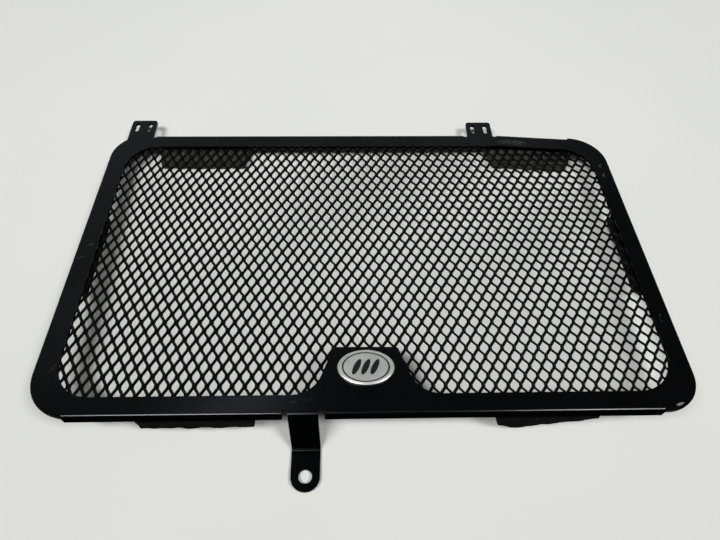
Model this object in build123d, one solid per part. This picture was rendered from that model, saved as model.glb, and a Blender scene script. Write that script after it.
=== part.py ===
from build123d import *
from math import asin, atan, atan2, degrees, hypot, tan
import os

# Motorcycle radiator guard: a folded sheet frame, an expanded-metal panel behind it, foam pads and a badge.
# It is drawn flat, front face up, and then laid down on its two top pads and the fold of its fixing tab.
# Millimetres. x runs along the guard, y from the tab edge to the ear edge, z out of the front face.
# The underside of the frame's sheet is at z = 0.

# Sheet and outline
sheet = 1.5
guard_length = 317.0
guard_height = 190.1
right_edge_lean = 5.6
top_edge_drop = 5.3
bottom_edge_rise = 2.65
lower_left_radius = 22.0
lower_right_radius = 18.0
upper_right_radius = 22.0
upper_left_radius = 19.0

# Window and its borders
left_border = 10.5
right_border = 9.2
top_border = 10.6
bottom_border = 10.1
window_radius = 19.0

# Step in the lower edge of the window, which carries the badge
step_x = 0.9
step_top_width = 31.6
step_foot_width = 50.0
step_height = 24.6
step_top_radius = 2.0
step_foot_radius = 15.0

# Ears with cable-tie slots
ear_width = 16.0
ear_tip_radius = 1.7
left_ear_rise = 14.3
right_ear_rise = 11.8
left_ear_inset = 15.0
right_ear_inset = 81.5
slot_length = 7.6
slot_width = 2.8
slot_spacing = 8.2
slot_below_tip = 6.6

# Folded flanges, and the round-ended reliefs cut beside the ears and the tab
flange_depth = 5.2
bend_radius = 0.4
flange_inset = 19.5
relief_width = 3.0
ear_relief_reach = 2.1
tab_relief_reach = 3.0

# Fixing tab, folded down and then out again into a foot
tab_width = 14.0
tab_inset = 130.2
tab_drop = 25.2
tab_reach = 6.6
tab_bend_radius = 2.0
foot_to_hole = 13.8
tab_hole = 6.6

# Expanded-metal panel
mesh_lap = 5.0
mesh_rim = 2.6
cell_width = 6.0
cell_height = 10.0
cell_shift = 1.15
strand_width = 1.5
strand_thickness = 0.65
strand_gap = 0.1

# Foam pads, cut by hand
pad_thickness = 8.0
pad_clearance = 0.6
pad_cut = 4.0
top_pad_width = 13.7
top_left_pad_inset = 31.5
top_left_pad_length = 55.5
top_right_pad_inset = 23.5
top_right_pad_length = 55.0
top_right_pad_flare = 3.4
side_pad_width = 7.6
side_pad_margin = 0.8
side_pad_raise = 4.25
left_side_pad_length = 53.5
right_side_pad_length = 51.0
bottom_left_pad_inset = 51.5
bottom_left_pad_length = 56.4
bottom_left_pad_drop = 12.0
bottom_right_pad_inset = 47.0
bottom_right_pad_length = 51.0
bottom_right_pad_drop = 18.2
bottom_right_pad_heel = 12.5
bottom_right_pad_tip = 6.0

# Badge
badge_length = 28.0
badge_width = 18.7
badge_thickness = 1.6
badge_dome = 0.9
badge_below_step = 1.9

# Places worked out from the sizes
half_length = guard_length / 2
half_height = guard_height / 2
left_ear_x = left_ear_inset - half_length
right_ear_x = half_length - right_ear_inset
knee_x = right_ear_x + ear_width / 2 + relief_width
tab_x = tab_inset - half_length
right_corner_x = half_length - right_edge_lean
right_edge_height = guard_height - top_edge_drop - bottom_edge_rise
top_slope = top_edge_drop / (right_corner_x - knee_x)
slope_length = hypot(right_corner_x - knee_x, top_edge_drop)
bottom_slope = bottom_edge_rise / guard_length
right_lean = right_edge_lean / right_edge_height
step_top_y = bottom_slope * (step_x + half_length) - half_height + bottom_border + step_height
outer_bend = bend_radius + sheet
tab_fold = atan2(tab_drop, tab_reach)
tab_bend_middle = tab_bend_radius + sheet / 2
tab_setback = tab_bend_middle * tan(tab_fold / 2)
hole_reach = tab_reach + foot_to_hole
foot_middle_z = sheet / 2 - tab_drop
mesh_thickness = 2 * strand_thickness + strand_gap
pad_top_z = -mesh_thickness

# The top pads share one rear line, clear of the sloping flange where the right pad ends
top_right_pad_end = half_length - top_right_pad_inset
pad_rear_y = half_height - top_slope * (top_right_pad_end - knee_x) - sheet - pad_clearance

# Each long edge has a frame of its own: x along the edge, y outwards
top_edge = Pos(0, half_height)
sloping_edge = Pos(knee_x, half_height) * Rot(0, 0, -degrees(atan(top_slope)))
bottom_turn = degrees(atan(bottom_slope))
inside_bottom_edge = Pos(0, bottom_edge_rise / 2 - half_height) * Rot(0, 0, bottom_turn)
bottom_edge = inside_bottom_edge * Rot(0, 0, 180)
tab_edge = bottom_edge * Pos(-tab_x, 0)


def bottom_y(x):
    """Where the bottom edge passes x."""
    return bottom_slope * (x + half_length) - half_height


def panel_corners(left, bottom, right, top):
    """The five corners of the guard's outline, each moved in by the border on its own side."""
    left_x = left - half_length
    bottom_right_x = half_length - right
    top_right_x = right_corner_x - right
    return [
        (left_x, bottom_y(left_x) + bottom),
        (bottom_right_x, bottom_y(bottom_right_x) + bottom),
        (top_right_x, half_height - top_slope * (top_right_x - knee_x) - top),
        (knee_x, half_height - top),
        (left_x, half_height - top),
    ]


def rounded(points, radii):
    """A flat face with each corner rounded by its own radius."""
    return Sketch() + make_face(FilletPolyline(*points, radius=radii, close=True))


def block(x_start, x_end, y_start, y_end):
    """A flat rectangle given by its four sides."""
    middle = Pos((x_start + x_end) / 2, (y_start + y_end) / 2)
    return middle * Rectangle(x_end - x_start, y_end - y_start)


def folded_strip(fold_points, radius, x_start, x_end):
    """A strip of the sheet along a middle line in y and z, bent at each inner point."""
    middle_line = FilletPolyline(*fold_points, radius=radius + sheet / 2)
    section = Plane.YZ.offset(x_start) * trace(middle_line, sheet)
    return extrude(section, amount=x_end - x_start)


def flange(x_start, x_end):
    """A flange folded down from an edge, in that edge's own frame."""
    fold_points = [
        (-outer_bend - sheet, sheet / 2),
        (-sheet / 2, sheet / 2),
        (-sheet / 2, sheet - flange_depth),
    ]
    return folded_strip(fold_points, bend_radius, x_start, x_end)


def fixing_tab():
    """The tab with its two bends, round end and bolt hole, in its own edge frame."""
    fold_points = [
        (-tab_relief_reach, sheet / 2),
        (0, sheet / 2),
        (tab_reach, foot_middle_z),
        (hole_reach, foot_middle_z),
    ]
    strip = folded_strip(fold_points, tab_bend_radius, -tab_width / 2, tab_width / 2)
    hole_place = Pos(0, hole_reach, foot_middle_z)
    round_end = hole_place * Cylinder(tab_width / 2, sheet)
    return strip + round_end - hole_place * Cylinder(tab_hole / 2, 2 * sheet)


def relief(x, reach):
    """A round-ended relief cut in from an edge, in that edge's own frame."""
    side = relief_width / 2
    end = side - reach
    return block(x - side, x + side, end, sheet) + Pos(x, end) * Circle(side)


def ear(x, rise):
    """An ear that stands on the top edge, with its two cable-tie slots."""
    base = half_height - top_border / 2
    tip = half_height + rise
    left = x - ear_width / 2
    right = x + ear_width / 2
    corners = [(left, base), (right, base), (right, tip), (left, tip)]
    plate = rounded(corners, [0, 0, ear_tip_radius, ear_tip_radius])
    for side in (-1, 1):
        place = Pos(x + side * slot_spacing / 2, tip - slot_below_tip)
        plate -= place * SlotOverall(slot_length, slot_width, rotation=90)
    return plate


def window():
    """The opening in the border, with the badge's step standing in its lower edge."""
    corners = panel_corners(left_border, bottom_border, right_border, top_border)
    foot_left = step_x - step_foot_width / 2
    foot_right = step_x + step_foot_width / 2
    step = [
        (foot_left, bottom_y(foot_left) + bottom_border),
        (step_x - step_top_width / 2, step_top_y),
        (step_x + step_top_width / 2, step_top_y),
        (foot_right, bottom_y(foot_right) + bottom_border),
    ]
    step_radii = [step_foot_radius, step_top_radius, step_top_radius, step_foot_radius]
    corner_radii = [window_radius, window_radius, 0, window_radius]
    return rounded(corners[:1] + step + corners[1:], [window_radius] + step_radii + corner_radii)


def guard_frame():
    """The whole frame in one folded sheet: border, step, ears, flanges and fixing tab."""
    top_start = left_ear_x + ear_width / 2 + relief_width
    top_end = right_ear_x - ear_width / 2 - relief_width
    tab_room = tab_width / 2 + relief_width
    flanges = [
        (top_edge, top_start, top_end),
        (sloping_edge, 0, slope_length - flange_inset),
        (bottom_edge, tab_room - tab_x, half_length - flange_inset),
        (bottom_edge, flange_inset - half_length, -tab_x - tab_room),
    ]
    half_relief = relief_width / 2
    reliefs = [
        top_edge * relief(top_start - half_relief, ear_relief_reach),
        top_edge * relief(top_end + half_relief, ear_relief_reach),
        top_edge * relief(knee_x - half_relief, ear_relief_reach),
        tab_edge * relief(half_relief - tab_room, tab_relief_reach),
        tab_edge * relief(tab_room - half_relief, tab_relief_reach),
    ]
    radii = [lower_left_radius, lower_right_radius, upper_right_radius, 0, upper_left_radius]
    plan = rounded(panel_corners(0, 0, 0, 0), radii)
    plan += ear(left_ear_x, left_ear_rise)
    plan += ear(right_ear_x, right_ear_rise)
    plan -= window()
    for edge, start, end in flanges:
        plan -= edge * block(start, end, -outer_bend, sheet)
    plan -= tab_edge * block(-tab_width / 2, tab_width / 2, -tab_setback, sheet)
    plan -= reliefs
    frame = extrude(plan, amount=sheet)
    for edge, start, end in flanges:
        frame += edge * flange(start, end)
    return frame + tab_edge * fixing_tab()


def mesh_outline(lap):
    """The panel's outline where it reaches the given distance behind the border."""
    borders = (left_border, bottom_border, right_border, top_border)
    corners = panel_corners(*[border - lap for border in borders])
    radius = window_radius + lap
    return rounded(corners, [radius, radius, radius, 0, radius])


def strand_bank(outline, side):
    """All strands that lean to one side, cut to the outline."""
    step = 1 / hypot(1 / cell_width, 1 / cell_height)
    angle = degrees(atan2(side / cell_height, 1 / cell_width))
    reach = hypot(guard_length, guard_height)
    count = int(reach / step / 2)
    lattice = Pos(0, cell_shift) * Rot(0, 0, angle)
    strand = Rectangle(strand_width, reach)
    places = [(n + 0.5) * step for n in range(-count, count)]
    return outline & (Sketch() + [lattice * Pos(place, 0) * strand for place in places])


def mesh_panel():
    """Expanded metal: two banks of strands on slightly different levels, held in a flattened rim."""
    outline = mesh_outline(mesh_lap)
    rim = outline - mesh_outline(mesh_lap - mesh_rim)
    front = rim + strand_bank(outline, 1)
    back = rim + strand_bank(outline, -1)
    panel = Pos(0, 0, -strand_thickness) * extrude(front, amount=strand_thickness)
    panel += Pos(0, 0, -strand_thickness - strand_gap) * extrude(rim, amount=strand_gap)
    return panel + Pos(0, 0, -mesh_thickness) * extrude(back, amount=strand_thickness)


def flat_pad(corners):
    """A pad that lies under the panel, from its outline."""
    plan = make_face(Polyline(*corners, close=True))
    return Pos(0, 0, pad_top_z - pad_thickness) * extrude(plan, amount=pad_thickness)


def standing_pad(profile):
    """A pad stuck behind the bottom flange, from its profile in x and in depth below the panel.

    Below the flange's free edge the foam swells out as far as the flange's face.
    """
    side = make_face(Polyline(*[(x, pad_top_z - depth) for x, depth in profile], close=True))
    swollen = extrude(Plane.XZ * side, amount=-sheet - pad_thickness)
    flange_room = Pos(0, 0, sheet - pad_clearance) * Box(guard_length, 2 * sheet, 2 * flange_depth)
    return inside_bottom_edge * (swollen - flange_room)


def top_left_pad():
    start = top_left_pad_inset - half_length
    end = start + top_left_pad_length
    near = pad_rear_y - top_pad_width
    near_corners = [(end - pad_cut, near), (start - pad_cut / 2, near)]
    return flat_pad([(start, pad_rear_y), (end, pad_rear_y)] + near_corners)


def top_right_pad():
    end = top_right_pad_end
    start = end - top_right_pad_length
    near = pad_rear_y - top_pad_width
    near_corners = [(end - pad_cut, near - top_right_pad_flare), (start + pad_cut, near)]
    return flat_pad([(start, pad_rear_y), (end, pad_rear_y)] + near_corners)


def side_pad(length):
    """A strip under a side border, centred on its own place."""
    return Pos(0, 0, pad_top_z - pad_thickness / 2) * Box(side_pad_width, length, pad_thickness)


def left_side_pad():
    x = side_pad_margin + side_pad_width / 2 - half_length
    return Pos(x, side_pad_raise) * side_pad(left_side_pad_length)


def right_side_pad():
    edge_x = half_length - right_lean * (side_pad_raise + half_height - bottom_edge_rise)
    edge = Pos(edge_x, side_pad_raise)
    edge *= Rot(0, 0, degrees(atan(right_lean)))
    return edge * Pos(-side_pad_margin - side_pad_width / 2, 0) * side_pad(right_side_pad_length)


def bottom_left_pad():
    start = bottom_left_pad_inset - half_length
    end = start + bottom_left_pad_length
    drop = bottom_left_pad_drop
    return standing_pad([(start, 0), (end, 0), (end - pad_cut / 2, drop), (start, drop)])


def bottom_right_pad():
    end = half_length - bottom_right_pad_inset
    start = end - bottom_right_pad_length
    drop = bottom_right_pad_drop
    heel = (start + bottom_right_pad_heel, drop)
    lower_left = (start + pad_cut, drop - pad_cut)
    return standing_pad([(start, 0), (end, 0), (end, bottom_right_pad_tip), heel, lower_left])


def badge():
    """A plain oval on the step, with a shallow dome."""
    y = step_top_y - badge_below_step - badge_width / 2
    oval = extrude(Ellipse(badge_length / 2, badge_width / 2), amount=badge_thickness)
    dome_radius = ((badge_length / 2) ** 2 + badge_dome ** 2) / (2 * badge_dome)
    dome = Pos(0, 0, badge_thickness - dome_radius) * Sphere(dome_radius)
    return Pos(step_x, y, sheet) * (oval & dome)


def resting_tilt():
    """How far the guard leans back when it lies on the rear of its top pads and on the tab's lower bend."""
    bend_y = bottom_y(tab_x) - tab_reach - tab_setback
    bend_z = foot_middle_z + tab_bend_middle
    run = pad_rear_y - bend_y
    fall = pad_top_z - pad_thickness - bend_z
    return degrees(atan2(fall, run) + asin((tab_bend_middle + sheet / 2) / hypot(run, fall)))


pieces = {
    "guard_frame": guard_frame(),
    "mesh_panel": mesh_panel(),
    "badge": badge(),
    "top_left_pad": top_left_pad(),
    "top_right_pad": top_right_pad(),
    "left_side_pad": left_side_pad(),
    "right_side_pad": right_side_pad(),
    "bottom_left_pad": bottom_left_pad(),
    "bottom_right_pad": bottom_right_pad(),
}

# Lay the guard down, and put the origin on the ground under the middle of it
lying = {name: Rot(-resting_tilt(), 0, 0) * piece for name, piece in pieces.items()}
box = Compound(children=[Part() + piece for piece in lying.values()]).bounding_box()
ground = Pos(-box.center().X, -box.center().Y, -box.min.Z)

os.makedirs("parts", exist_ok=True)
for name, piece in lying.items():
    export_step(ground * piece, f"parts/{name}.step")
    print(name, "volume", round(piece.volume, 1), "valid", piece.is_valid)
print("tilt", round(resting_tilt(), 3), "size", box.size)
print("ground shift", ground.position)
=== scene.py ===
# %% [markdown]
# # A motorcycle radiator guard, dressed in Blender
# The real guard is a frame cut and folded from thin sheet, coated black. A panel of expanded metal closes
# its window, foam pads keep it off the radiator, and a small domed badge sits on a step in the lower
# border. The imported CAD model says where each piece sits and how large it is, so nothing is fitted here.
# This lesson loads it, sets up the camera and the light, and then replaces and coats its pieces one by one.

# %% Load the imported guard
from math import cos, radians, sin

import bmesh
import bpy
from mathutils import Matrix, Vector


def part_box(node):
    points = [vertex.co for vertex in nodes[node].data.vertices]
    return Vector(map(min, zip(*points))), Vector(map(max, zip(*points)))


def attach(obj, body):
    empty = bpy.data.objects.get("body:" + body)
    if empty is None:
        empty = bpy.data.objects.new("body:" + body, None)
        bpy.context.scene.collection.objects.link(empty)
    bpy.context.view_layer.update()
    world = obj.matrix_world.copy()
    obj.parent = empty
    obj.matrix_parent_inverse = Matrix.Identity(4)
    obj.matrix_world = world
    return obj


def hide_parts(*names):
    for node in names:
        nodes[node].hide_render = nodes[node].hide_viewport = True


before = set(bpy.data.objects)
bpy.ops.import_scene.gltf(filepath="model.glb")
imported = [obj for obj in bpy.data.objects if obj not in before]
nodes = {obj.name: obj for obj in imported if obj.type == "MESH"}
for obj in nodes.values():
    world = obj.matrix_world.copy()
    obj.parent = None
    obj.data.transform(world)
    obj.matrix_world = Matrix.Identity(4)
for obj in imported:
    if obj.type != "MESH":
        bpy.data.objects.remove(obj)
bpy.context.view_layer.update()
print("CAD nodes:", ", ".join(sorted(nodes)))

# %% [markdown]
# The guard lies on the rear of its top pads and on the fold of its tab, so it leans back a little. Its
# parts are easier to model flat. One matrix, with the CAD's own origin and lean, takes flat places to where
# they lie. Flat, the sheet's underside is at z = 0. The matrix also tells which way the front face looks.

# %% From the flat guard to the lying one
mm = 0.001
flat_origin = (0.279 * mm, 6.959 * mm, 16.695 * mm)
lean_back = radians(-4.7128)
lying = Matrix.Translation(flat_origin) @ Matrix.Rotation(lean_back, 4, "X")
front = lying.to_3x3() @ Vector((0, 0, 1))
frame_low, frame_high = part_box("guard_frame")
print("the frame's box in mm:", [round(v / mm, 1) for v in frame_high - frame_low])

# %% [markdown]
# The picture is taken from above the near edge, about 60 degrees above the table. A wide lens makes the
# near edge look longer, so the lens is as important as the place. A 28 mm lens on a 36 mm sensor gives that
# convergence.

# %% Camera
bpy.ops.object.select_all(action="DESELECT")
bpy.ops.object.camera_add(
    location=(-0.00270, -0.15888, 0.28061),
    rotation=(radians(30.403), radians(-0.130), radians(-0.279)),
)
camera = bpy.context.object
camera.name = "photo_camera"
camera.data.lens = 28
camera.data.sensor_width = 36
camera.data.clip_start = 0.01
bpy.context.scene.camera = camera
bpy.context.scene.view_settings.view_transform = "Standard"
print("camera", round(camera.location.length, 3), "m from the origin")

# %% [markdown]
# A material is a small graph of nodes. To write it as a sum, this class wraps one output of a node. Adding
# or multiplying two wires adds a Math node, and `add` makes any other node from its type, settings and
# sockets.

# %% Wires for shader maths


class Wire:
    """One output of a node in a material or in the world."""

    def __init__(self, tree, socket):
        self.tree = tree
        self.socket = socket

    def add(self, kind, settings, sockets, output=0):
        """Adds a node: its settings first, then its sockets' values or links."""
        node = self.tree.nodes.new(kind)
        for name, value in settings.items():
            setattr(node, name, value)
        for name, value in sockets.items():
            if isinstance(value, Wire):
                self.tree.links.new(value.socket, node.inputs[name])
            else:
                node.inputs[name].default_value = value
        return Wire(self.tree, node.outputs[output])

    def maths(self, operation, first, second=0.0):
        """A Math node on two wires or numbers."""
        return self.add("ShaderNodeMath", {"operation": operation}, {0: first, 1: second})

    def __add__(self, other):
        return self.maths("ADD", self, other)

    __radd__ = __add__

    def __sub__(self, other):
        return self.maths("SUBTRACT", self, other)

    def __rsub__(self, other):
        return self.maths("SUBTRACT", other, self)

    def __mul__(self, other):
        return self.maths("MULTIPLY", self, other)

    __rmul__ = __mul__

    def __truediv__(self, other):
        return self.maths("DIVIDE", self, other)

    def __pow__(self, other):
        return self.maths("POWER", self, other)

    def axis(self, letter):
        """One coordinate of the places, or of the direction, that this wire holds."""
        return self.add("ShaderNodeSeparateXYZ", {}, {0: self}, output=letter)

    def smooth(self, low, high):
        """0 below low, 1 above high, and a soft step between them."""
        sockets = {"Value": self, "From Min": low, "From Max": high}
        return self.add("ShaderNodeMapRange", {"interpolation_type": "SMOOTHSTEP"}, sockets)

    def mix(self, first, second):
        """The first colour where this wire is 0, the second where it is 1."""
        first, second = [(*c, 1) if isinstance(c, tuple) else c for c in (first, second)]
        return self.add("ShaderNodeMix", {"data_type": "RGBA"}, {0: self, 6: first, 7: second}, output=2)

    def noise(self, scale, detail=3.0, roughness=0.5):
        """Soft noise at this many lumps a metre; this wire holds the places."""
        sockets = {"Vector": self, "Scale": scale, "Detail": detail, "Roughness": roughness}
        return self.add("ShaderNodeTexNoise", {}, sockets)

    def bump(self, height, distance, strength=1.0):
        """A normal bent by a height field."""
        sockets = {"Height": height, "Distance": distance, "Strength": strength}
        return self.add("ShaderNodeBump", {}, sockets)


print("shader maths ready")

# %% [markdown]
# Every finish here starts from the Principled shader. A number that is the same all over a piece is set on
# the shader's own socket, and wires feed what varies. The patterns read the object's own places, in metres,
# so they need no unwrapping and stay put from every side.

# %% Start a material


def new_material(name, **constants):
    """A material, a wire with the object's own places, and a function that links wires to its shader."""
    material = bpy.data.materials.new(name)
    material.use_nodes = True
    tree = material.node_tree
    shader = tree.nodes["Principled BSDF"]
    for socket, value in constants.items():
        shader.inputs[socket.replace("_", " ")].default_value = value
    places = Wire(tree, tree.nodes.new("ShaderNodeTexCoord").outputs["Object"])

    def feed(**wires):
        for socket, wire in wires.items():
            tree.links.new(wire.socket, shader.inputs[socket.replace("_", " ")])

    return material, places, feed


print("materials can be started")

# %% [markdown]
# Two soft lamps hang high up to the left and right, a little in front of the guard. Each side border throws
# a soft shadow inwards, on the table below the mesh, and the lamps' reflections draw the bright line along
# the bottom fold. Lamps that face the guard would leave the far table darker than the near one, so both aim
# beyond it, with a narrowed spread. Two dim, cool panels behind the guard give its flat borders their faint
# sheen.

# %% Lamps


def soft_light(name, place, target, size, power, colour=(1, 1, 1), spread=180):
    """A rectangular lamp that faces its target, in metres, watts and degrees."""
    bpy.ops.object.light_add(type="AREA", location=place)
    light = bpy.context.object
    light.name = name
    light.rotation_euler = (Vector(target) - Vector(place)).to_track_quat("-Z", "Y").to_euler()
    light.data.shape = "RECTANGLE"
    light.data.size, light.data.size_y = size
    light.data.energy = power
    light.data.color = colour
    light.data.spread = radians(spread)
    return light


guard_middle = (0, 0, 0)
beyond_guard = (-0.05, 0.60, 0)
narrowed = 110
cool = (0.72, 0.88, 1.0)
left_lamp = soft_light(
    "left_lamp", place=(-0.60, -0.46, 1.55), target=beyond_guard,
    size=(0.72, 0.28), power=7.7, spread=narrowed,
)
soft_light(
    "right_lamp", place=(0.76, -0.44, 1.45), target=beyond_guard,
    size=(0.44, 0.36), power=5.9, spread=narrowed,
)
near_panel = soft_light(
    "near_panel", place=(-0.33, 0.41, 1.10), target=guard_middle,
    size=(0.34, 0.08), power=0.14, colour=cool,
)
far_panel = soft_light(
    "far_panel", place=(-0.20, 1.00, 1.00), target=guard_middle,
    size=(1.75, 0.80), power=0.92, colour=cool,
)

# %% [markdown]
# From a low side the camera also sees the far table and the room behind it. A bright world would make both
# pale, but it would light the guard as well and lie like a grey veil on its black coat. So the room's walls
# are pale only to the camera and in reflections. Overhead the room stays dark, because the coat would
# mirror it.

# %% Room


def seen(start):
    """1 for a ray from the camera, off gloss or through glass, and 0 for one that carries light."""
    rays = 0
    for kind in ("Is Camera Ray", "Is Glossy Ray", "Is Transmission Ray"):
        rays = rays + start.add("ShaderNodeLightPath", {}, {}, output=kind)
    return start.maths("MINIMUM", rays, 1.0)


room_light = (0.03, 0.03, 0.03)
pale = (0.66, 0.67, 0.64)
walls_end, ceiling_start = sin(radians(24)), sin(radians(33))
world = bpy.data.worlds.new("room")
bpy.context.scene.world = world
world.use_nodes = True
tree = world.node_tree
direction = Wire(tree, tree.nodes.new("ShaderNodeTexCoord").outputs["Generated"])
walls = seen(direction) * (1 - direction.axis("Z").smooth(walls_end, ceiling_start))
background = tree.nodes["Background"]
tree.links.new(walls.mix(room_light, pale).socket, background.inputs["Color"])
background.inputs["Strength"].default_value = 1.0
print("the room's walls are pale")

# %% [markdown]
# The table is plain and pale, with a faint cloudiness so that it isn't one flat colour. Far from the guard
# it fades into the walls' colour in the same way as the room. The two panels are there for the sheen alone:
# light linking takes the table out of what they light, or they would fill the dark strip below the far
# border.

# %% Table
table_side = 8
fade_middle = (0, 0.35, 0)
fade_start, fade_end, fade_share = 0.60, 1.40, 0.76
table_dark, table_light = (0.80, 0.81, 0.765), (0.82, 0.825, 0.785)
no_light = (0.0, 0.0, 0.0)
bpy.ops.mesh.primitive_plane_add(size=table_side)
table = bpy.context.object
table.name = "table"
table_coat, places, feed = new_material(
    "pale_table", Roughness=0.6, Specular_IOR_Level=0.2, Emission_Strength=1.0,
)
ends = {0: places, 1: fade_middle}
away = places.add("ShaderNodeVectorMath", {"operation": "DISTANCE"}, ends, output="Value")
far = seen(places) * away.smooth(fade_start, fade_end) * fade_share
feed(
    Base_Color=places.noise(6.0).smooth(0.35, 0.65).mix(table_dark, table_light),
    Emission_Color=far.mix(no_light, pale),
)
table.data.materials.append(table_coat)

not_table = bpy.data.collections.new("all_but_the_table")
not_table.objects.link(table)
not_table.collection_objects[0].light_linking.link_state = "EXCLUDE"
for panel in (near_panel, far_panel):
    panel.light_linking.receiver_collection = not_table
print("table laid,", table_side, "m wide")

# %% [markdown]
# Modelling by hand means: pick something, then push it. These helpers make one object the active one, open
# it in edit mode with nothing picked, and pick points by their place.

# %% Pick and push


def only(piece):
    """Makes this piece the only selected one, and the active one."""
    bpy.ops.object.select_all(action="DESELECT")
    piece.select_set(True)
    bpy.context.view_layer.objects.active = piece


def edit(piece):
    """Opens a piece in edit mode with nothing selected."""
    only(piece)
    bpy.ops.object.mode_set(mode="EDIT")
    bpy.ops.mesh.select_all(action="DESELECT")


def done():
    """Leaves edit mode."""
    bpy.ops.object.mode_set(mode="OBJECT")


def pick(piece, test):
    """Selects exactly the points whose place passes the test, with the edges and faces between them."""
    mesh = bmesh.from_edit_mesh(piece.data)
    bpy.ops.mesh.select_all(action="DESELECT")
    for point in mesh.verts:
        point.select = test(point.co)
    mesh.select_flush(True)
    mesh.select_mode = {"VERT"}
    bmesh.update_edit_mesh(piece.data)


print("helpers for edit mode ready")

# %% [markdown]
# Some pieces start as a copy of their CAD node. A node's mesh is loose triangles, so a copy is merged
# first. Modifiers are applied one by one, as by hand. A finished piece's place goes into its mesh and its
# object goes to the origin, as a node's does, or the patterns on it would slide in the exported model.

# %% Copy, modify and settle
weld = 0.001 * mm


def apply_modifier(piece, kind, **settings):
    """Adds a modifier, sets it and applies it."""
    only(piece)
    modifier = piece.modifiers.new(kind.title(), kind)
    for name, value in settings.items():
        setattr(modifier, name, value)
    bpy.ops.object.modifier_apply(modifier=modifier.name)


def copy_of(node, name):
    """A new piece with a copy of a CAD node's mesh, its loose triangles merged, left open in edit mode."""
    piece = bpy.data.objects.new(name, nodes[node].data.copy())
    bpy.context.scene.collection.objects.link(piece)
    piece.data.materials.clear()
    edit(piece)
    bpy.ops.mesh.select_all(action="SELECT")
    bpy.ops.mesh.remove_doubles(threshold=weld)
    return piece


def settle(piece, place=None):
    """Puts a piece's place into its mesh, so that its object sits at the origin, and lets it ride."""
    if place is not None:
        piece.matrix_world = place
    only(piece)
    bpy.ops.object.transform_apply(location=True, rotation=True, scale=True)
    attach(piece, "root")


def triangles(piece):
    """How many triangles a piece's faces split into."""
    return sum(len(face.vertices) - 2 for face in piece.data.polygons)


print("helpers for whole pieces ready")

# %% [markdown]
# ## Expanded metal
# The panel starts as a plain sheet. A press slits it in staggered rows and pulls it open, so each strand
# twists and stands up a little, and neighbours stay joined at the knuckles. That is why the cells look
# narrow from one side and wide from the other. A flat grid of holes would miss it, so one knuckle is
# modelled with the two strands that leave it, tilted as the press leaves them, and three arrays repeat it.

# %% One knuckle and its two strands
cell = Vector((6.0 * mm, 10.0 * mm))
strand_width = 1.15 * mm
strand_thickness = 1.1 * mm
strand_tilt = radians(53)
knuckle = 1.9 * mm
steps = 3
tiny = 0.01 * mm
# How far a tilted strand's width reaches sideways and up
lean = strand_width * cos(strand_tilt)
rise = strand_width * sin(strand_tilt)

bpy.ops.object.select_all(action="DESELECT")
bpy.ops.mesh.primitive_grid_add(x_subdivisions=2, y_subdivisions=1, size=1)
mesh_sheet = bpy.context.object
mesh_sheet.name = "expanded_mesh"
edit(mesh_sheet)
bpy.ops.mesh.select_all(action="SELECT")
bpy.ops.transform.resize(value=(2 * lean, knuckle, 1))
pick(mesh_sheet, lambda co: co.x < -lean / 2)
bpy.ops.transform.translate(value=(0, 0, rise))
pick(mesh_sheet, lambda co: co.x > lean / 2)
bpy.ops.transform.translate(value=(0, 0, -rise))
# Each strand runs in a few steps from one half of the knuckle's far edge to the next row
for side in (-1, 1):
    pick(mesh_sheet, lambda co: abs(co.y - knuckle / 2) < tiny and -tiny < co.x * side < lean + tiny)
    whole = Vector((side * (cell.x / 2 - lean), cell.y / 2 - knuckle, side * rise))
    for step in range(steps):
        bpy.ops.mesh.extrude_region_move(TRANSFORM_OT_translate={"value": whole / steps})
done()
print("one knuckle with its strands has", len(mesh_sheet.data.polygons), "faces")

# %% [markdown]
# Along a row the knuckles stand 6 mm apart, and every second row is shifted by half a cell. A loop of
# copies would do, but arrays leave one mesh whose points can be merged at once: one array along a row, one
# for the shifted row, and one up the panel.

# %% Repeat the knuckle
first_knuckle = Vector((-156.0, -93.35, 0.0)) * mm
columns, rows = 53, 19
mesh_sheet.location = first_knuckle
only(mesh_sheet)
bpy.ops.object.transform_apply(location=True)
for count, offset in (
    (columns, (cell.x, 0, 0)),
    (2, (cell.x / 2, cell.y / 2, 0)),
    (rows, (0, cell.y, 0)),
):
    apply_modifier(
        mesh_sheet, "ARRAY", count=count, use_relative_offset=False,
        use_constant_offset=True, constant_offset_displace=offset,
    )
edit(mesh_sheet)
bpy.ops.mesh.select_all(action="SELECT")
bpy.ops.mesh.remove_doubles(threshold=tiny)
done()
print("the open sheet has", len(mesh_sheet.data.polygons), "faces")

# %% [markdown]
# The sheet is cut with straight cuts just inside its rim, as on a guillotine: one along each of its five
# sides and one across each of its four rounded corners. It gets its thickness last, because a thin sheet is
# easier to cut.

# %% Cut and thicken
# The rim's corners in mm, from the lower left round to the upper left: all but the knee are rounded
knee_x = 88.0
rim_corners = [(-153.0, -89.9), (154.3, -87.3), (148.7, 84.5), (knee_x, 89.45), (-153.0, 89.45)]
rounded = [index for index, corner in enumerate(rim_corners) if corner[0] != knee_x]
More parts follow.
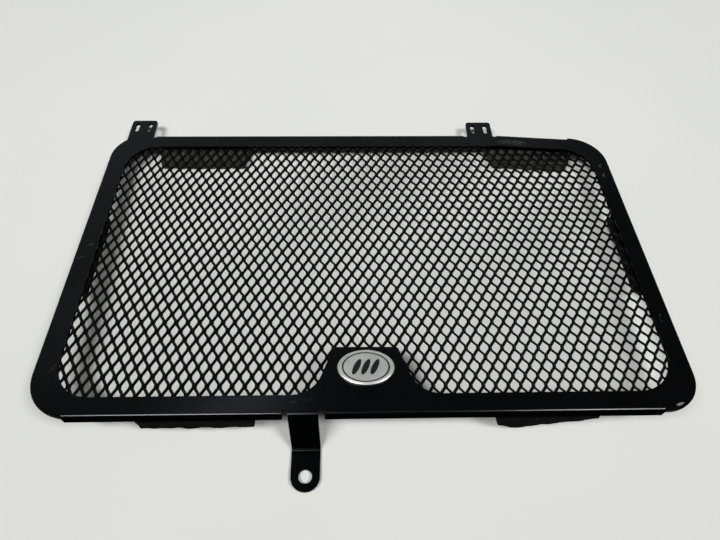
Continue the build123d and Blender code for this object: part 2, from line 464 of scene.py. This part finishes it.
# How far the strands end inside a side of the rim, and inside a corner
strand_end, corner_cut = 1.3, 9.2
cuts = []
for index, start in enumerate(rim_corners):
    end = rim_corners[(index + 1) % len(rim_corners)]
    along = (Vector(end) - Vector(start)).normalized()
    outwards = Vector((along.y, -along.x))
    cuts.append((Vector(start) - strand_end * outwards, outwards))
for index in rounded:
    before, after = cuts[(index - 1) % len(rim_corners)][1], cuts[index][1]
    outwards = (before + after).normalized()
    cuts.append((Vector(rim_corners[index]) - corner_cut * outwards, outwards))
edit(mesh_sheet)
for place, outwards in cuts:
    bpy.ops.mesh.select_all(action="SELECT")
    bpy.ops.mesh.bisect(
        plane_co=(place.x * mm, place.y * mm, 0), plane_no=(outwards.x, outwards.y, 0), clear_outer=True,
    )
done()
apply_modifier(mesh_sheet, "SOLIDIFY", thickness=strand_thickness, offset=0, use_even_offset=True)
mesh_top = max(v.co.z for v in mesh_sheet.data.vertices)
mesh_depth = mesh_top - min(v.co.z for v in mesh_sheet.data.vertices)
print("expanded metal:", triangles(mesh_sheet), "triangles,", round(mesh_depth / mm, 2), "mm deep")

# %% [markdown]
# Along its edge the panel is flattened into a narrow rim, which hides behind the border. A thick curve
# could make it, but an inset keeps its width even round the corners. So it is a five-cornered face with
# rounded corners, inset, opened in the middle and given thickness.

# %% The flattened rim
rim_width = 2.6 * mm
rim_thickness = 1.4 * mm
rim_rounding = 24 * mm
bpy.ops.object.select_all(action="DESELECT")
bpy.ops.mesh.primitive_circle_add(vertices=len(rim_corners), radius=0.1, fill_type="NGON")
rim = bpy.context.object
starts = [point.co.copy() for point in rim.data.vertices]
edit(rim)
for start, corner in zip(starts, rim_corners):
    pick(rim, lambda co: (co - start).length < tiny)
    bpy.ops.transform.translate(value=Vector((corner[0] * mm, corner[1] * mm, 0)) - start)
bpy.ops.mesh.select_all(action="SELECT")
bpy.ops.mesh.normals_make_consistent(inside=False)
pick(rim, lambda co: abs(co.x - knee_x * mm) > mm)
bpy.ops.mesh.bevel(offset=rim_rounding, segments=8, affect="VERTICES", offset_type="OFFSET")
bpy.ops.mesh.select_all(action="SELECT")
bpy.ops.mesh.inset(thickness=rim_width)
bpy.ops.mesh.delete(type="FACE")
bpy.ops.mesh.select_all(action="SELECT")
bpy.ops.mesh.extrude_region_move(TRANSFORM_OT_translate={"value": (0, 0, -rim_thickness)})
bpy.ops.mesh.select_all(action="SELECT")
bpy.ops.mesh.normals_make_consistent(inside=False)
done()
mesh_sheet.location.z = -mesh_top
only(mesh_sheet)
bpy.ops.object.transform_apply(location=True)
rim.select_set(True)
bpy.ops.object.join()
settle(mesh_sheet, lying)
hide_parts("mesh_panel")
print("mesh panel with its rim:", triangles(mesh_sheet), "triangles")

# %% [markdown]
# A real room sends light in from all round, so the table below a mesh is only a little darker than the
# rest. Two lamps alone leave it much too dark, and a brighter room would veil the black coat. So the mesh
# is taken out of what blocks the left lamp. The frame and the foam still block it, and their shadows stay.

# %% Let one lamp's light through the mesh
let_through = bpy.data.collections.new("let_through")
let_through.objects.link(mesh_sheet)
let_through.collection_objects[0].light_linking.link_state = "EXCLUDE"
left_lamp.light_linking.blocker_collection = let_through

# %% [markdown]
# The mesh is coated black like the frame, with dust in places. Strands are only two pixels wide in the
# picture, so drawn marks would be lost on them: noise varies colour and roughness, and a faint bump breaks
# up the shine.

# %% Coat on the mesh
mesh_black, mesh_dust = (0.0010, 0.0010, 0.0010), (0.020, 0.019, 0.017)
mesh_coat, places, feed = new_material("coated_mesh", Specular_IOR_Level=0.10)
dust = places.noise(scale=900.0, detail=4.0).smooth(0.55, 0.75) * places.noise(40.0).smooth(0.45, 0.7)
feed(
    Base_Color=(dust * 0.5).mix(mesh_black, mesh_dust),
    Roughness=places.noise(300.0) * 0.2 + 0.4,
    Normal=places.bump(height=places.noise(1500.0), distance=0.05 * mm),
)
mesh_sheet.data.materials.append(mesh_coat)
print("mesh coated")

# %% [markdown]
# ## The frame
# The sheet is cut by laser, folded and powder coated. It could be modelled again from a plane, but the CAD
# shape is right, and only its edges are too sharp: a coat rounds every cut edge a little. So a copy of the
# CAD frame is merged, its coplanar triangles are dissolved, and its sharp edges get a small bevel.

# %% Round the cut edges
edge_rounding = 0.15 * mm
sharp_edge = radians(35)
coplanar = radians(0.5)
coated_frame = copy_of("guard_frame", "coated_frame")
bpy.ops.mesh.dissolve_limited(angle_limit=coplanar)
done()
apply_modifier(
    coated_frame, "BEVEL", width=edge_rounding, segments=2, limit_method="ANGLE", angle_limit=sharp_edge,
)
only(coated_frame)
bpy.ops.object.shade_smooth()
apply_modifier(coated_frame, "WEIGHTED_NORMAL", mode="FACE_AREA", weight=100, keep_sharp=True)
settle(coated_frame)
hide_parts("guard_frame")
print("frame:", triangles(coated_frame), "triangles")

# %% [markdown]
# Satin black powder coat is nearly black with a hint of blue, and it has the marks of a used part. A
# painted image could hold the marks, but it would need unwrapping. Instead each mark is an oval mask at its
# own place on the sheet, with an edge broken by noise: a chip to bare metal on the lower right corner and
# small scuffs on the borders. A lighter patch beside the right ear is drawn in the same way.

# %% Marks on the powder coat
sheet = 1.5 * mm


def oval(places, x, y, long, wide, turn=0.0):
    """0 in the middle of an oval on the flat guard and 1 on its edge; its place and half sizes are in mm."""
    centre = lying @ Vector((x * mm, y * mm, sheet))
    across = places.axis("X") - centre.x
    upwards = places.axis("Y") - centre.y
    along = (across * cos(turn) + upwards * sin(turn)) / (long * mm)
    aside = (upwards * cos(turn) - across * sin(turn)) / (wide * mm)
    return (along**2 + aside**2) ** 0.5


powder_coat, places, feed = new_material("powder_coat", Specular_IOR_Level=0.0, Coat_Roughness=0.20)
broken = places.noise(scale=700.0, detail=5.0, roughness=0.65)
smears = places.noise(scale=28.0, detail=4.0)
corner_oval = oval(places, x=146.6, y=-89.1, long=2.3, wide=0.7, turn=0.35)
chip = 1 - (corner_oval + broken * 1.2).smooth(1.2, 1.6)
# A lighter patch beside the right ear, in the pale marks' colour, with its edge broken by smears
ear_oval = oval(places, x=96.5, y=87.8, long=9.0, wide=2.2, turn=-0.08)
lighter = 1 - (ear_oval + smears * 0.8).smooth(0.9, 1.6)
lighter = lighter * (0.35 + broken.smooth(0.45, 0.62))

# Each scuff's middle, half length and half width in mm on the flat sheet, its turn and its strength
scuff_list = (
    (-152.0, 5.2, 2.4, 0.6, 0.5, 0.30),
    (-155.3, -3.6, 3.0, 0.6, 0.3, 0.30),
    (-149.8, -69.8, 3.0, 1.2, 1.1, 0.10),
    (148.3, 66.3, 2.4, 0.8, 1.3, 0.45),
    (148.7, 58.3, 2.4, 0.8, 1.2, 0.45),
    (152.0, -43.2, 3.0, 0.8, 1.5, 0.30),
    (-32.5, -87.6, 2.2, 1.1, 0.1, 0.08),
    (-25.8, -86.2, 2.6, 1.3, 0.2, 0.08),
)
scuffs = 0
for x, y, long, wide, turn, strength in scuff_list:
    mark = 1 - (oval(places, x, y, long, wide, turn) + broken).smooth(1.1, 1.6)
    scuffs = scuffs + mark * strength
scuffs = scuffs * broken.smooth(0.40, 0.62)
specks = places.noise(scale=1400.0, detail=2.0).smooth(0.69, 0.74) * smears.smooth(0.48, 0.62)
print("marks: a chip, a rubbed patch and", len(scuff_list), "scuffs")

# %% [markdown]
# The gloss is a clear coat on the shader, with a fine orange peel as bump. On the real part it shows on the
# sheet's front face and on the tab's foot, while flanges and cut edges stay dull. So the coat's weight is
# masked by a place's height above the sheet's underside, and by how far it lies out towards the tab's end.

# %% Powder coat
deep_black, grey_black = (0.0008, 0.0009, 0.0012), (0.0014, 0.0016, 0.0020)
pale_marks, bare_metal = (0.16, 0.155, 0.145), (0.20, 0.197, 0.187)
dull_below, glossy_above = 1.05 * mm, 1.40 * mm
foot_line, foot_fade = -96.2 * mm, 0.8 * mm
pair = {0: places, 1: front}
height = places.add("ShaderNodeVectorMath", {"operation": "DOT_PRODUCT"}, pair, output="Value")
face = (height - front.dot(lying.translation)).smooth(dull_below, glossy_above)
foot = 1 - places.axis("Y").smooth(foot_line, foot_line + foot_fade)
black = smears.smooth(0.35, 0.7).mix(deep_black, grey_black)
with_pale_marks = (scuffs + lighter * 0.24 + specks * 0.06).mix(black, pale_marks)
feed(
    Base_Color=chip.mix(with_pale_marks, bare_metal),
    Roughness=0.5 + smears * 0.2,
    Coat_Weight=(face + foot * 0.6) * (0.62 + smears * 0.3) * (1 - lighter * 0.5) * (1 - chip),
    Normal=places.bump(height=places.noise(scale=1100.0, detail=2.0), distance=0.04 * mm, strength=0.6),
)
coated_frame.data.materials.append(powder_coat)
print("frame coated")

# %% [markdown]
# ## Foam pads
# The pads are strips of charcoal foam, cut by hand with a knife and stuck on, so their faces are not quite
# flat and their edges not quite straight. A plain block would look moulded. Each strip starts from its CAD
# block: a copy is remeshed finely, its arrises are smoothed, and a cloud texture pushes its faces in and
# out by about half a millimetre. The strands press on the strips from above and the table from below, so
# two cuts trim them flat there.

# %% Cut the foam strips
voxel = 0.7 * mm
unevenness = 1.3 * mm
strand_clearance = 0.05 * mm
hand_cut = bpy.data.textures.new("hand_cut", "CLOUDS")
hand_cut.noise_scale = 7 * mm
hand_cut.noise_depth = 2
below_strands = lying @ Vector((0, 0, -mesh_depth - strand_clearance))
trims = ((below_strands, front), (Vector((0, 0, 0)), Vector((0, 0, -1))))
pads = {}
for name in sorted(n for n in nodes if n.endswith("_pad")):
    pad = copy_of(name, name.replace("_pad", "_foam"))
    done()
    apply_modifier(pad, "REMESH", mode="VOXEL", voxel_size=voxel)
    apply_modifier(pad, "SMOOTH", factor=0.5, iterations=3)
    apply_modifier(
        pad, "DISPLACE", texture=hand_cut, strength=unevenness, mid_level=0.5, texture_coords="GLOBAL",
    )
    edit(pad)
    for place, outwards in trims:
        bpy.ops.mesh.select_all(action="SELECT")
        bpy.ops.mesh.bisect(
            plane_co=place, plane_no=outwards, use_fill=True, clear_outer=True, threshold=weld,
        )
    done()
    bpy.ops.object.shade_smooth()
    settle(pad)
    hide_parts(name)
    pads[name] = pad
print("foam strips:", {name: triangles(pad) for name, pad in pads.items()})

# %% [markdown]
# Open-cell foam is a mass of tiny pits, far too many to model. Voronoi cells and a fine grain give the
# pits, with painted shade darkening them inside and the ridges paler, and the same field bends the normal.
# Towards the near edge the ridges are painted darker, as shade under the bottom flange, and the strips along
# the far edge are greyer with dust.

# %% Foam finish
# Painted shade: black in the pits and dark ridges near the flange, while the far ridges are greyer with dust
pit_shade = (0.0015, 0.0015, 0.0015)
shaded_near_ridge, dusty_far_ridge = (0.007, 0.007, 0.0068), (0.085, 0.085, 0.080)
shade_to_dust_start, shade_to_dust_end = 30 * mm, 70 * mm
foam, places, feed = new_material("foam", Specular_IOR_Level=0.02)
pits = places.add("ShaderNodeTexVoronoi", {}, {"Vector": places, "Scale": 1500.0})
grain = places.noise(scale=2600.0, detail=3.0, roughness=0.6)
cells = pits.smooth(0.1, 0.75) * 0.7 + grain * 0.3
patches = places.noise(120.0).smooth(0.35, 0.7)
ridge_shade_and_dust = places.axis("Y").smooth(shade_to_dust_start, shade_to_dust_end).mix(shaded_near_ridge, dusty_far_ridge)
feed(
    Base_Color=(cells * (0.6 + patches * 0.4)).mix(pit_shade, ridge_shade_and_dust),
    Roughness=0.85 + grain * 0.1,
    Normal=places.bump(height=cells, distance=0.4 * mm, strength=0.9),
)
for pad in pads.values():
    pad.data.materials.append(foam)
print("foam finished on", len(pads), "strips")

# %% [markdown]
# ## Badge
# The badge is a printed oval under a lens of clear resin. A flattened ball would have no rim, so a disc is
# scaled to an oval, raised, and inset ring by ring with each ring a little higher, which gives the resin's
# crown.

# %% Domed badge
badge_low, badge_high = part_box("badge")
badge_middle = lying.inverted() @ ((badge_low + badge_high) / 2)
# Half its length and width in mm, and how high its side stands
badge_long, badge_wide = 14.0, 9.35
badge_wall = 0.7 * mm
bpy.ops.object.select_all(action="DESELECT")
bpy.ops.mesh.primitive_circle_add(vertices=64, radius=1, fill_type="NGON")
badge = bpy.context.object
badge.name = "domed_badge"
edit(badge)
bpy.ops.mesh.select_all(action="SELECT")
bpy.ops.transform.resize(value=(badge_long * mm, badge_wide * mm, 1))
bpy.ops.mesh.extrude_region_move(TRANSFORM_OT_translate={"value": (0, 0, badge_wall)})
for inwards, upwards in ((0.25, 0.20), (0.5, 0.24), (1.0, 0.22), (2.0, 0.16), (2.5, 0.07)):
    bpy.ops.mesh.inset(thickness=inwards * mm)
    bpy.ops.transform.translate(value=(0, 0, upwards * mm))
bpy.ops.mesh.select_all(action="SELECT")
bpy.ops.mesh.normals_make_consistent(inside=False)
done()
only(badge)
bpy.ops.object.shade_smooth_by_angle(angle=radians(50))
settle(badge, lying @ Matrix.Translation((badge_middle.x, badge_middle.y, sheet)))
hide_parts("badge")
print("badge:", triangles(badge), "triangles")

# %% [markdown]
# The print is silver and black with no words: a thin black oval line inside the edge, and three slanted
# black bars in the middle. The same oval masks draw it, which stay sharp at any size. A clear coat on the
# shader stands for the resin.

# %% Badge print
bar_spacing, bar_long, bar_wide, bar_turn = 4.4, 4.4, 1.45, 1.15
dull_silver, bright_silver = (0.50, 0.505, 0.46), (0.57, 0.575, 0.53)
black_ink = (0.0015, 0.0015, 0.002)
print_x, print_y = badge_middle.x / mm, badge_middle.y / mm
print_coat, places, feed = new_material("badge_print", Coat_Weight=0.6, Coat_Roughness=0.06)
from_middle = oval(places, print_x, print_y, badge_long, badge_wide)
edge_line = from_middle.smooth(0.965, 0.98)
oval_line = from_middle.smooth(0.76, 0.775) * (1 - from_middle.smooth(0.82, 0.835))
bars = 0
for shift in (-bar_spacing, 0.0, bar_spacing):
    bar = oval(places, print_x + shift, print_y, bar_long, bar_wide, bar_turn)
    bars = bars + (1 - bar.smooth(0.97, 1.03))
ink = (edge_line + oval_line + bars).smooth(0.45, 0.55)
silver = places.noise(scale=220.0, detail=2.0).smooth(0.3, 0.7).mix(dull_silver, bright_silver)
feed(
    Base_Color=ink.mix(silver, black_ink),
    Roughness=ink * 0.1 + 0.32,
    Metallic=(1 - ink) * 0.35,
)
badge.data.materials.append(print_coat)
print("badge printed")
